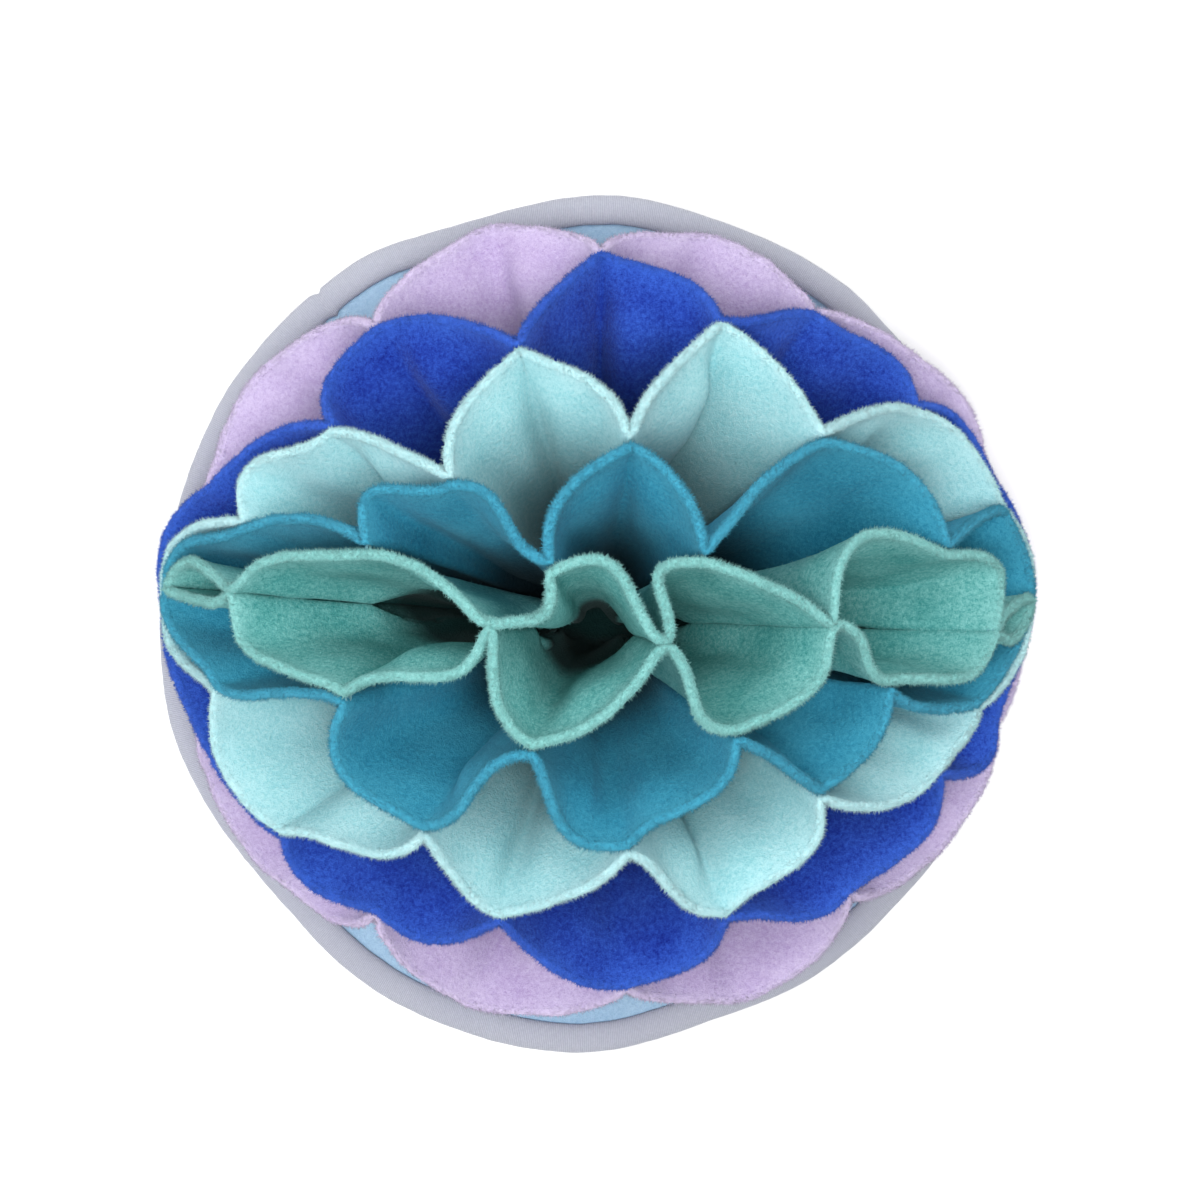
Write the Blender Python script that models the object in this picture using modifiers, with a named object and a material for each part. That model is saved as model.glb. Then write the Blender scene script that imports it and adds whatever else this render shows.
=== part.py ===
"""A snuffle mat: five fleece discs, sewn through their centres to a round base and folded up as a flower.

Lengths in the tables are millimetres, seen from above: +X to the right, +Y to the back, +Z up.
Bearings are degrees round a disc, counted from +X towards +Y.
"""

import math
from collections import namedtuple

import bmesh
import bpy
import numpy as np

MM = 0.001

# The base: a padded disc whose edge is tucked into a rolled binding.
BASE_RADIUS = 180.0
BASE_THICK = 5.0
BINDING_INNER = 167.5
BINDING_HIGH = 8.5
TUCK_LOW, TUCK_HIGH = 2.3, 5.3
GAP = 0.4
BASE_STEPS = 96

# The fleece sheets.
SHEET_THICK = 2.9
LAYER = 4.1
CENTRE = (3.0, 1.0)
LOWEST_CENTRE = BASE_THICK + GAP + SHEET_THICK / 2
FLAT_REACH = 172.0
NEST = 24.0
PER_FOLD = 5
RINGS = (0.09, 0.18, 0.28, 0.42, 0.7, 1.0)
BOTTOM_SHARE = 0.42
PART_SHARE = 0.36

# The dome that all the sewn points of the flower lie on.
DOME_REACH = 190.0
DOME_RISE = 136.0
DOME_FOOT = 5.0
DOME_POWERS = (1.6, 0.8)

# How far the outline stands in from BASE_RADIUS, by bearing.
Dent = namedtuple("Dent", "bearing depth")
DENTS = [
    Dent(0, 3.0), Dent(42, 4.2), Dent(54, 2.6), Dent(70, 3.1), Dent(86, 0.9), Dent(107, 4.6),
    Dent(124, 0.0), Dent(146, 0.0), Dent(163, 1.4), Dent(192, 0.0), Dent(221, 6.4), Dent(243, 1.8),
    Dent(267, 0.1), Dent(289, 6.2), Dent(301, 5.0), Dent(317, 5.5), Dent(335, 4.0),
]

# Each row is a point where a sheet is sewn to the next one in: where it lies, and how far the outer
# sheet's edge swells beyond a straight line, near the point and far from it, before and after it.
Tack = namedtuple("Tack", "bearing x y before before_far after after_far")
LAVENDER_ROYAL = [
    Tack(18, 169, 54, 5, 4, 1, 12),
    Tack(54, 90, 124, 15, 0, 12, 4),
    Tack(90, 5, 147, 17, -6, 15, -4),
    Tack(126, -84, 117, 21, -3, 22, -2),
    Tack(162, -153, 55, 8, 2, 16, -2),
    Tack(198, -157, -43, 6, 0, 15, -1),
    Tack(234, -83, -113, 28, -7, 20, 0),
    Tack(270, 15, -143, 18, -2, 13, -7),
    Tack(306, 103, -106, 23, 3, 19, -3),
    Tack(342, 165, -40, 18, -2, 16, -2),
]
ROYAL_AQUA = [
    Tack(0, 181, 10, 6, -1, 8, 4),
    Tack(36, 130, 86, 21, 2, 19, 1),
    Tack(72, 51, 117, -4, 4, 15, 3),
    Tack(108, -26, 106, 6, 4, 6, 13),
    Tack(144, -99, 76, 16, 7, 13, 8),
    Tack(180, -171, 4, 14, 18, 8, 2),
    Tack(216, -120, -83, 6, 5, 16, 8),
    Tack(252, -34, -112, 10, 18, 5, 15),
    Tack(288, 53, -112, 16, 5, -3, 18),
    Tack(324, 139, -58, 22, 7, 12, 18),
]
AQUA_TEAL = [
    Tack(18, 168, 47, 7, 8, 5, 13),
    Tack(54, 90, 72, 2, 9, 4, 8),
    Tack(90, 16, 69, 6, 4, 13, 5),
    Tack(126, -51, 54, 15, 7, 0, 7),
    Tack(162, -134, 39, 32, 0, 20, 28),
    Tack(198, -146, -25, 2, 14, 18, 14),
    Tack(234, -62, -77, 19, -3, -1, 8),
    Tack(270, 15, -83, 8, 6, -5, 14),
    Tack(306, 88, -64, 24, -1, 9, 17),
    Tack(342, 155, -32, 4, 1, 10, 10),
]
TEAL_MINT = [
    Tack(0, 180, 9, 4, 4, 7, 2),
    Tack(36, 140, 29, 0, 6, 18, 15),
    Tack(72, 43, 25, 1, 11, 7, 9),
    Tack(108, -13, 21, 17, 10, -11, 18),
    Tack(144, -83, 29, 32, 1, 9, 10),
    Tack(180, -170, 14, 20, 2, 13, -2),
    Tack(216, -91, -27, -8, 8, 29, 11),
    Tack(252, -20, -45, -16, 13, 5, 26),
    Tack(288, 55, -40, 19, -3, -4, 2),
    Tack(324, 115, -22, 9, 10, 9, 6),
]
# The innermost sheet is sewn to itself across the fold, so each point has a row for both halves.
MINT_MINT = [
    Tack(18, 161, -3, 3, 6, 14, 28),
    Tack(54, 91, 0, 32, 28, 2, 4),
    Tack(90, 28, -6, -3, 32, -2, 32),
    Tack(126, -35, 1, -11, -16, 1, 11),
    Tack(162, -138, 13, 12, 4, 4, 24),
    Tack(198, -138, 13, 8, 3, 24, 4),
    Tack(234, -35, 1, 24, -8, 2, 14),
    Tack(270, 28, -6, 3, 13, -9, 21),
    Tack(306, 91, 0, 17, 8, -16, 10),
    Tack(342, 161, -3, 21, 5, 10, 8),
]

# The tips of the outermost sheet's lobes, which hang free just over the base.
Lobe = namedtuple("Lobe", "bearing x y z")
LOBES = [
    Lobe(0, 181, 10, 12),
    Lobe(36, 142, 102, 28),
    Lobe(72, 47, 159, 32),
    Lobe(108, -41, 163, 32),
    Lobe(144, -133, 105, 30),
    Lobe(180, -176, 6, 13),
    Lobe(216, -133, -101, 30),
    Lobe(252, -45, -158, 32),
    Lobe(288, 62, -155, 32),
    Lobe(324, 145, -92, 28),
]

Sheet = namedtuple("Sheet", "node color inner outer")
SHEETS = [
    Sheet("leaf_lavender", (0.60, 0.43, 0.76), LAVENDER_ROYAL, LOBES),
    Sheet("leaf_royal", (0.02, 0.05, 0.50), ROYAL_AQUA, LAVENDER_ROYAL),
    Sheet("leaf_aqua", (0.36, 0.72, 0.76), AQUA_TEAL, ROYAL_AQUA),
    Sheet("leaf_teal", (0.03, 0.30, 0.45), TEAL_MINT, AQUA_TEAL),
    Sheet("leaf_mint", (0.20, 0.55, 0.48), MINT_MINT, TEAL_MINT),
]


Station = namedtuple("Station", "place across side row")


def smooth(t):
    """A blend from 0 to 1 with no corner at either end."""
    t = min(max(t, 0.0), 1.0)
    return t * t * (3 - 2 * t)


def dome(x, y, layer):
    """The height of a sewn point between sheets layer - 1 and layer."""
    reach = min(math.hypot(x, y) / DOME_REACH, 1.0)
    first, second = DOME_POWERS
    return DOME_FOOT + layer * LAYER + DOME_RISE * (1 - reach**first) ** second


def centre_of(index):
    """Where a sheet's middle is sewn down, each on top of the one before."""
    return np.array([*CENTRE, LOWEST_CENTRE + index * LAYER])


def stations(index):
    """The twenty fixed points of a sheet's edge, by bearing: place, way across the pair, side, row."""
    sheet = SHEETS[index]
    centre = centre_of(index)
    found = {}
    for rows, side, layer in ((sheet.inner, -1.0, index + 1), (sheet.outer, 1.0, index)):
        places = []
        for row in rows:
            height = row.z if rows is LOBES else dome(row.x, row.y, layer)
            places.append(np.array([row.x, row.y, height]))
        for row, before, place, after in zip(rows, places[-1:] + places, places, places[1:] + places[:1]):
            across = np.cross(place - centre, after - before)
            across /= np.linalg.norm(across)
            found[row.bearing] = Station(place, across, side, row)
    return found


def mixed(first, last, share):
    return first + (last - first) * share


def edge(index, fixed, degrees):
    """A point of the sheet's edge, and the shift that keeps it clear of its neighbours."""
    bearing = int(degrees // 18) * 18
    t = (degrees - bearing) / 18
    start, end = fixed[bearing % 360], fixed[(bearing + 18) % 360]
    if start.side < 0:
        near, far = start.row.after, start.row.after_far
    else:
        near, far = end.row.before_far, end.row.before
    chord = end.place[:2] - start.place[:2]
    outward = np.array([chord[1], -chord[0]]) / np.linalg.norm(chord)
    x, y = start.place[:2] + chord * t + outward * 3 * t * (1 - t) * mixed(near, far, t)
    layers = index + (start.side < 0), index + (end.side < 0)
    above = [stop.place[2] - dome(*stop.place[:2], layer) for stop, layer in zip((start, end), layers)]
    height = dome(x, y, mixed(*layers, t)) + mixed(*above, smooth(t))
    across = mixed(start.across, end.across, smooth(t))
    side = mixed(start.side, end.side, smooth(t))
    return np.array([x, y, height]), across / np.linalg.norm(across) * side * LAYER / 2


def sheet_point(index, fixed, degrees, share):
    """A point of a folded sheet: flat at its centre, then bent up and straight out to its edge."""
    centre = centre_of(index)
    target, shift = edge(index, fixed, degrees % 360)
    angle = math.radians(degrees)
    flat = np.array([math.cos(angle), math.sin(angle), 0.0]) * (FLAT_REACH - index * NEST)
    bent = smooth(share / BOTTOM_SHARE)
    parted = smooth(share / PART_SHARE)
    apart = shift * np.array([parted, parted, bent * share])
    return centre + flat * (1 - bent) * share + apart + (target - centre) * bent * share


def dent(degrees):
    """How far the base's outline stands in at a bearing."""
    degrees %= 360
    rows = [*DENTS, Dent(DENTS[0].bearing + 360, DENTS[0].depth)]
    for row, after in zip(rows, rows[1:]):
        if degrees <= after.bearing:
            return mixed(row.depth, after.depth, smooth((degrees - row.bearing) / (after.bearing - row.bearing)))


def finish(bm, node, color, collection):
    """Makes the object of a mesh, with its own material."""
    bmesh.ops.recalc_face_normals(bm, faces=bm.faces)
    mesh = bpy.data.meshes.new(node)
    bm.to_mesh(mesh)
    bm.free()
    obj = bpy.data.objects.new(node, mesh)
    collection.objects.link(obj)
    material = bpy.data.materials.new(node)
    material.use_nodes = True
    shader = material.node_tree.nodes["Principled BSDF"]
    shader.inputs["Base Color"].default_value = (*color, 1.0)
    shader.inputs["Roughness"].default_value = 0.95
    shader.inputs["Metallic"].default_value = 0.0
    mesh.materials.append(material)
    return obj


def turn(bm, profile, closed):
    """Spins a profile of (radius, height) points round the Z axis."""
    points = [bm.verts.new((radius, 0.0, height)) for radius, height in profile]
    lines = [bm.edges.new(pair) for pair in zip(points, points[1:])]
    if closed:
        lines.append(bm.edges.new((points[-1], points[0])))
    bmesh.ops.spin(
        bm, geom=points + lines, axis=(0, 0, 1), cent=(0, 0, 0), angle=math.tau, steps=BASE_STEPS,
        use_merge=True,
    )
    bmesh.ops.remove_doubles(bm, verts=bm.verts, dist=1e-4)


def make_base(collection):
    """The padded disc and its binding, turned true and then pushed in where the outline dents."""
    disc = [
        (0.0, BASE_THICK), (BINDING_INNER - 12.0, BASE_THICK), (BINDING_INNER - 1.0, TUCK_HIGH),
        (BINDING_INNER + 5.0, TUCK_HIGH), (BINDING_INNER + 5.0, TUCK_LOW), (BINDING_INNER - 1.0, TUCK_LOW),
        (BINDING_INNER - 2.5, 0.0), (0.0, 0.0),
    ]
    inner, slot_end = BINDING_INNER, BINDING_INNER + 5.0 + GAP
    low, high = TUCK_LOW - GAP, TUCK_HIGH + GAP
    binding = [
        (inner, high), (inner + 0.6, high + 1.6), (inner + 3.0, BINDING_HIGH), (BASE_RADIUS - 5.0, BINDING_HIGH),
        (BASE_RADIUS - 1.4, BINDING_HIGH - 1.8), (BASE_RADIUS, BINDING_HIGH / 2), (BASE_RADIUS - 1.2, 1.4),
        (BASE_RADIUS - 3.6, 0.0), (inner, 0.0), (inner, low), (slot_end, low), (slot_end, high),
    ]
    for node, color, profile, closed in (
        ("base_disc", (0.34, 0.50, 0.66), disc, False),
        ("edge_binding", (0.52, 0.52, 0.60), binding, True),
    ):
        bm = bmesh.new()
        turn(bm, profile, closed)
        for vert in bm.verts:
            radius = math.hypot(vert.co.x, vert.co.y)
            pushed = dent(math.degrees(math.atan2(vert.co.y, vert.co.x))) * smooth(radius / BASE_RADIUS)
            scale = (radius - pushed) / radius if radius > 1.0 else 1.0
            vert.co = (vert.co.x * scale * MM, vert.co.y * scale * MM, vert.co.z * MM)
        finish(bm, node, color, collection)


def make_sheet(index, collection):
    """One fleece disc, cut as a polar grid and folded to its place."""
    sheet = SHEETS[index]
    fixed = stations(index)
    bm = bmesh.new()
    ring_of = {}
    spokes = [bm.verts.new((share, 0.0, 0.0)) for share in (0.0, *RINGS)]
    lines = [bm.edges.new(pair) for pair in zip(spokes, spokes[1:])]
    bmesh.ops.spin(
        bm, geom=spokes + lines, axis=(0, 0, 1), cent=(0, 0, 0), angle=math.tau, steps=20 * PER_FOLD,
        use_merge=True,
    )
    bmesh.ops.remove_doubles(bm, verts=bm.verts, dist=1e-5)
    for vert in bm.verts:
        degrees = math.degrees(math.atan2(vert.co.y, vert.co.x)) % 360
        share = math.hypot(vert.co.x, vert.co.y)
        ring_of[vert] = sheet_point(index, fixed, round(degrees, 3), share)
    for vert, place in ring_of.items():
        vert.co = place * MM
    obj = finish(bm, sheet.node, sheet.color, collection)
    thick = obj.modifiers.new("thickness", "SOLIDIFY")
    thick.thickness = SHEET_THICK * MM
    thick.offset = 0.0
    return obj


def main():
    for obj in list(bpy.data.objects):
        bpy.data.objects.remove(obj)
    collection = bpy.data.collections.new("snuffle_mat")
    bpy.context.scene.collection.children.link(collection)
    make_base(collection)
    for index in range(len(SHEETS)):
        make_sheet(index, collection)


main()
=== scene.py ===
# %% [markdown]
# # A snuffle mat, folded up as a flower
# The mat is five fleece discs of one size, sewn through their centres to a round base. Each disc is
# folded up along one line and tacked to the next at ten points of its edge, so that the discs open
# between the tacks as deep cells, where dry treats are hidden. This lesson loads the plain solids of
# the mat, and dresses them with real fleece: soft edges, pile, loose fibres and stitches.

# %% Load the frame
import math
from collections import namedtuple

import bpy
import numpy as np
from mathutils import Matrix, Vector, noise


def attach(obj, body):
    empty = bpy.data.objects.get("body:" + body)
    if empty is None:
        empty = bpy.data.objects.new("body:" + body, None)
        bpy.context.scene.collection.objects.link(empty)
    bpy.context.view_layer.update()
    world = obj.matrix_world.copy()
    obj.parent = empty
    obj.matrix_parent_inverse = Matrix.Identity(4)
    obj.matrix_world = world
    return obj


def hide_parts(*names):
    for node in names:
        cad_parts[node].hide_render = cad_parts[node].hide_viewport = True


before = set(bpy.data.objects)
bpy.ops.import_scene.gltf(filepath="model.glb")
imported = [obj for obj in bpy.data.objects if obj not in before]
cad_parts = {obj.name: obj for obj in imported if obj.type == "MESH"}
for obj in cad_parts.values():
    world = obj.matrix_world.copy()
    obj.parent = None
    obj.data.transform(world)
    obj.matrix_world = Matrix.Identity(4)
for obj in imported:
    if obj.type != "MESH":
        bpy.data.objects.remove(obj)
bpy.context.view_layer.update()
print("nodes:", ", ".join(sorted(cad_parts)))

# %% [markdown]
# ## The camera
# The photograph looks straight down on the mat from about a metre above. The flower's top is nearer
# the lens than its base, so it is drawn larger, and a long lens from far away would lose that.
# The camera is a metre up, and its lens is chosen so that the base fills as much of the square
# picture as it does in the photograph.

# %% The camera
CAMERA_HIGH = 1.0
AIM_X, AIM_Y = 0.0046, 0.0097
PICTURE_PIXELS, BASE_PIXELS = 1200, 857
BASE_ACROSS = 0.36
SENSOR = 36.0

camera = bpy.data.objects.new("camera", bpy.data.cameras.new("camera"))
bpy.context.scene.collection.objects.link(camera)
camera.location = (AIM_X, AIM_Y, CAMERA_HIGH)
camera.data.sensor_width = SENSOR
camera.data.lens = SENSOR * CAMERA_HIGH * (BASE_PIXELS / BASE_ACROSS) / PICTURE_PIXELS
camera.data.clip_start = 0.05
bpy.context.scene.camera = camera
print("lens", round(camera.data.lens, 1), "mm at", CAMERA_HIGH, "m")

# %% [markdown]
# ## Where the discs are sewn together
# A fleece disc can't stretch much, so its shape in the flower is set by the points where it is tacked
# and by how far its edge swells between them. Each row below is one tack: its bearing round the disc
# in degrees, where it lies on the plan in millimetres, and the swell of the outer disc's edge on
# either side of it, first close to the tack and then far from it. The outermost disc has no further
# disc to hold on to, so a lobe takes the place of each outer tack, with its height. The same rows
# shaped the plain solids, so the dressed flower sits over them.

# %% Tables of tacks
Tack = namedtuple("Tack", "bearing x y before before_far after after_far")
LAVENDER_ROYAL = [
    Tack(18, 169, 54, 5, 4, 1, 12),
    Tack(54, 90, 124, 15, 0, 12, 4),
    Tack(90, 5, 147, 17, -6, 15, -4),
    Tack(126, -84, 117, 21, -3, 22, -2),
    Tack(162, -153, 55, 8, 2, 16, -2),
    Tack(198, -157, -43, 6, 0, 15, -1),
    Tack(234, -83, -113, 28, -7, 20, 0),
    Tack(270, 15, -143, 18, -2, 13, -7),
    Tack(306, 103, -106, 23, 3, 19, -3),
    Tack(342, 165, -40, 18, -2, 16, -2),
]
ROYAL_AQUA = [
    Tack(0, 181, 10, 6, -1, 8, 4),
    Tack(36, 130, 86, 21, 2, 19, 1),
    Tack(72, 51, 117, -4, 4, 15, 3),
    Tack(108, -26, 106, 6, 4, 6, 13),
    Tack(144, -99, 76, 16, 7, 13, 8),
    Tack(180, -171, 4, 14, 18, 8, 2),
    Tack(216, -120, -83, 6, 5, 16, 8),
    Tack(252, -34, -112, 10, 18, 5, 15),
    Tack(288, 53, -112, 16, 5, -3, 18),
    Tack(324, 139, -58, 22, 7, 12, 18),
]
AQUA_TEAL = [
    Tack(18, 168, 47, 7, 8, 5, 13),
    Tack(54, 90, 72, 2, 9, 4, 8),
    Tack(90, 16, 69, 6, 4, 13, 5),
    Tack(126, -51, 54, 15, 7, 0, 7),
    Tack(162, -134, 39, 32, 0, 20, 28),
    Tack(198, -146, -25, 2, 14, 18, 14),
    Tack(234, -62, -77, 19, -3, -1, 8),
    Tack(270, 15, -83, 8, 6, -5, 14),
    Tack(306, 88, -64, 24, -1, 9, 17),
    Tack(342, 155, -32, 4, 1, 10, 10),
]
TEAL_MINT = [
    Tack(0, 180, 9, 4, 4, 7, 2),
    Tack(36, 140, 29, 0, 6, 18, 15),
    Tack(72, 43, 25, 1, 11, 7, 9),
    Tack(108, -13, 21, 17, 10, -11, 18),
    Tack(144, -83, 29, 32, 1, 9, 10),
    Tack(180, -170, 14, 20, 2, 13, -2),
    Tack(216, -91, -27, -8, 8, 29, 11),
    Tack(252, -20, -45, -16, 13, 5, 26),
    Tack(288, 55, -40, 19, -3, -4, 2),
    Tack(324, 115, -22, 9, 10, 9, 6),
]
MINT_MINT = [
    Tack(18, 161, -3, 3, 6, 14, 28),
    Tack(54, 91, 0, 32, 28, 2, 4),
    Tack(90, 28, -6, -3, 32, -2, 32),
    Tack(126, -35, 1, -11, -16, 1, 11),
    Tack(162, -138, 13, 12, 4, 4, 24),
    Tack(198, -138, 13, 8, 3, 24, 4),
    Tack(234, -35, 1, 24, -8, 2, 14),
    Tack(270, 28, -6, 3, 13, -9, 21),
    Tack(306, 91, 0, 17, 8, -16, 10),
    Tack(342, 161, -3, 21, 5, 10, 8),
]
Lobe = namedtuple("Lobe", "bearing x y z")
LOBES = [
    Lobe(0, 181, 10, 12),
    Lobe(36, 142, 102, 28),
    Lobe(72, 47, 159, 32),
    Lobe(108, -41, 163, 32),
    Lobe(144, -133, 105, 30),
    Lobe(180, -176, 6, 13),
    Lobe(216, -133, -101, 30),
    Lobe(252, -45, -158, 32),
    Lobe(288, 62, -155, 32),
    Lobe(324, 145, -92, 28),
]
PAIRS = [LOBES, LAVENDER_ROYAL, ROYAL_AQUA, AQUA_TEAL, TEAL_MINT, MINT_MINT]
LEAVES = ["leaf_lavender", "leaf_royal", "leaf_aqua", "leaf_teal", "leaf_mint"]
LAVENDER, TEAL, MINT = 0, 3, 4
print(sum(len(rows) for rows in PAIRS), "rows of tacks and lobes")

# %% [markdown]
# ## The dome of tacks
# A photograph from straight above gives no heights. But every disc was cut to one size, so the tacks
# nearer the middle of the plan have to be higher up, or their cloth would be too short. They lie on
# a dome, one layer of cloth higher for each disc further in.

# %% The dome
LAYER = 4.1
CENTRE = (3.0, 1.0)
LOWEST_CENTRE = 6.9
DOME_REACH, DOME_RISE, DOME_FOOT = 190.0, 136.0, 5.0
DOME_SHOULDER, DOME_BOW = 1.6, 0.8


def smooth(t):
    t = np.clip(t, 0.0, 1.0)
    return t * t * (3 - 2 * t)


def mixed(first, last, share):
    return first + (last - first) * share


def unit(vectors):
    return vectors / np.linalg.norm(vectors, axis=-1, keepdims=True)


def dome(x, y, layer):
    reach = min(math.hypot(x, y) / DOME_REACH, 1.0)
    return DOME_FOOT + layer * LAYER + DOME_RISE * (1 - reach**DOME_SHOULDER) ** DOME_BOW


def centre_of(index):
    return np.array([*CENTRE, LOWEST_CENTRE + index * LAYER])


print("highest tack", round(max(dome(row.x, row.y, 5) for row in MINT_MINT), 1), "mm")

# %% [markdown]
# ## How a disc folds
# Every disc is flat where it is sewn down, bends up, and then runs straight out to its edge, as
# cloth does when it is pulled at the rim. So one function gives each point of a disc from its bearing
# and its share of the way out. Two discs that meet at a tack lie side by side, one layer apart,
# square to the cloth, and tacks to the outer and the inner neighbour take turns every 18 degrees.
# A formula keeps this exact, where a cloth simulation would drift away from the solids.

# %% Folding a disc
STAGGER = 18
FLAT_REACH, NEST = 172.0, 24.0
BOTTOM_SHARE, PART_SHARE = 0.42, 0.36
Station = namedtuple("Station", "place across side row")


def stations(index):
    """The twenty points that hold a disc's edge, by bearing."""
    centre = centre_of(index)
    found = {}
    for rows, side, layer in ((PAIRS[index + 1], -1.0, index + 1), (PAIRS[index], 1.0, index)):
        places = [
            np.array([row.x, row.y, row.z if rows is LOBES else dome(row.x, row.y, layer)])
            for row in rows
        ]
        neighbours = zip(rows, places[-1:] + places, places, places[1:] + places[:1])
        for row, before, place, after in neighbours:
            across = unit(np.cross(place - centre, after - before))
            found[row.bearing] = Station(place, across, side, row)
    return found


def edge(index, fixed, degrees):
    """A point of a disc's edge, and the shift that keeps it off its neighbour."""
    bearing = int(degrees // STAGGER) * STAGGER
    t = (degrees - bearing) / STAGGER
    start, end = fixed[bearing % 360], fixed[(bearing + STAGGER) % 360]
    if start.side < 0:
        near, far = start.row.after, start.row.after_far
    else:
        near, far = end.row.before_far, end.row.before
    chord = end.place[:2] - start.place[:2]
    outward = unit(np.array([chord[1], -chord[0]]))
    x, y = start.place[:2] + chord * t + outward * 3 * t * (1 - t) * mixed(near, far, t)
    layers = index + (start.side < 0), index + (end.side < 0)
    stops = zip((start, end), layers)
    above = [stop.place[2] - dome(*stop.place[:2], layer) for stop, layer in stops]
    height = dome(x, y, mixed(*layers, t)) + mixed(*above, smooth(t))
    across = unit(mixed(start.across, end.across, smooth(t)))
    side = mixed(start.side, end.side, smooth(t))
    return np.array([x, y, height]), across * side * LAYER / 2


def fold(index, bearings, shares):
    """The middle of a folded disc, as a grid of points in millimetres."""
    fixed, centre = stations(index), centre_of(index)
    edges = [edge(index, fixed, degrees % 360) for degrees in bearings]
    target = np.array([point for point, _ in edges])[:, None]
    shift = np.array([move for _, move in edges])[:, None]
    angle = np.radians(bearings)
    flat = np.stack([np.cos(angle), np.sin(angle), np.zeros_like(angle)], 1)[:, None]
    flat = flat * (FLAT_REACH - index * NEST)
    share = np.array(shares)[None, :, None]
    bent, parted = smooth(share / BOTTOM_SHARE), smooth(share / PART_SHARE)
    apart = shift * np.concatenate([parted, parted, bent * share], 2)
    return centre + flat * (1 - bent) * share + apart + (target - centre) * bent * share


heights = fold(MINT, np.arange(0.0, 360.0), [1.0])[:, 0, 2]
print("the mint disc's rim is", heights.min().round(), "to", heights.max().round(), "mm up")

# %% [markdown]
# ## Shader maths written as sums
# A node tree is hard to read as a list of links. This class wraps one socket, so that an expression
# such as 1 - mask adds the Math node that works it out, and any other node is one call that names the
# node, its settings and what its sockets take.

# %% A socket that can be written in sums
class Wire:
    def __init__(self, tree, socket=None):
        self.tree, self.socket = tree, socket

    def node(self, kind, settings=None, sockets=None, out=0):
        made = self.tree.nodes.new(kind)
        for name, value in (settings or {}).items():
            setattr(made, name, value)
        for name, value in (sockets or {}).items():
            plug(made, name, value)
        return Wire(self.tree, made.outputs[out])

    def math(self, operation, *values):
        return self.node("ShaderNodeMath", {"operation": operation}, dict(enumerate(values)))

    def __add__(self, other):
        return self.math("ADD", self, other)

    def __sub__(self, other):
        return self.math("SUBTRACT", self, other)

    def __rsub__(self, other):
        return self.math("SUBTRACT", other, self)

    def __mul__(self, other):
        return self.math("MULTIPLY", self, other)

    __radd__, __rmul__ = __add__, __mul__

    def tint(self, first, second):
        """A colour that goes from first to second as this value goes from 0 to 1."""
        settings = {"data_type": "RGBA", "clamp_factor": True}
        sockets = {0: self}
        for place, color in ((6, first), (7, second)):
            sockets[place] = color if isinstance(color, Wire) else (*color, 1.0)
        return self.node("ShaderNodeMix", settings, sockets, out=2)


def plug(node, name, value):
    """Feeds one socket of a node with a wire, or sets it to a plain value."""
    if isinstance(value, Wire):
        value.tree.links.new(value.socket, node.inputs[name])
    else:
        node.inputs[name].default_value = value


def new_material(name):
    material = bpy.data.materials.new(name)
    material.use_nodes = True
    tree = material.node_tree
    return material, Wire(tree), tree.nodes["Principled BSDF"]


operators = [name for name in vars(Wire) if name.startswith("__") and name != "__init__"]
print("operators:", ", ".join(sorted(name for name in operators if callable(getattr(Wire, name)))))

# %% [markdown]
# ## Fleece
# Polar fleece is brushed until its loops burst into a mat of crimped fibres. Seen close, that mat is
# mottled at a millimetre or two: clumps that catch the light, and dark gaps between them. Fibres that
# stand up also glow a little where the cloth turns away, which is what the shader's sheen does. The
# cut edge looks paler, because the fibres stand out there and catch the light. Three noises, from slow
# clouds through clumps down to single fibres, give the bump and the mottle, which is painted light and
# shade of the clumps. Two values painted on the mesh do the rest: rim is a painted highlight that makes
# the edge paler, and shade is painted shade that darkens the cloth deep down in a cell.

# %% The fleece material
CLOUD_SCALE, CLUMP_SCALE, FIBRE_SCALE = 45.0, 640.0, 2200.0
DEEPEST = 0.08
PILE_BUMP, PILE_DEEP = 0.9, 0.0011


def speckle(place, scale, detail, **more):
    """Noise over a surface, from 0 to 1."""
    sockets = {"Vector": place, "Scale": scale, "Detail": detail, **more}
    return place.node("ShaderNodeTexNoise", {}, sockets)


def painted(wire, attribute):
    """A value that is stored on the points of the mesh."""
    return wire.node("ShaderNodeAttribute", {"attribute_name": attribute}, out=2)


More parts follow.
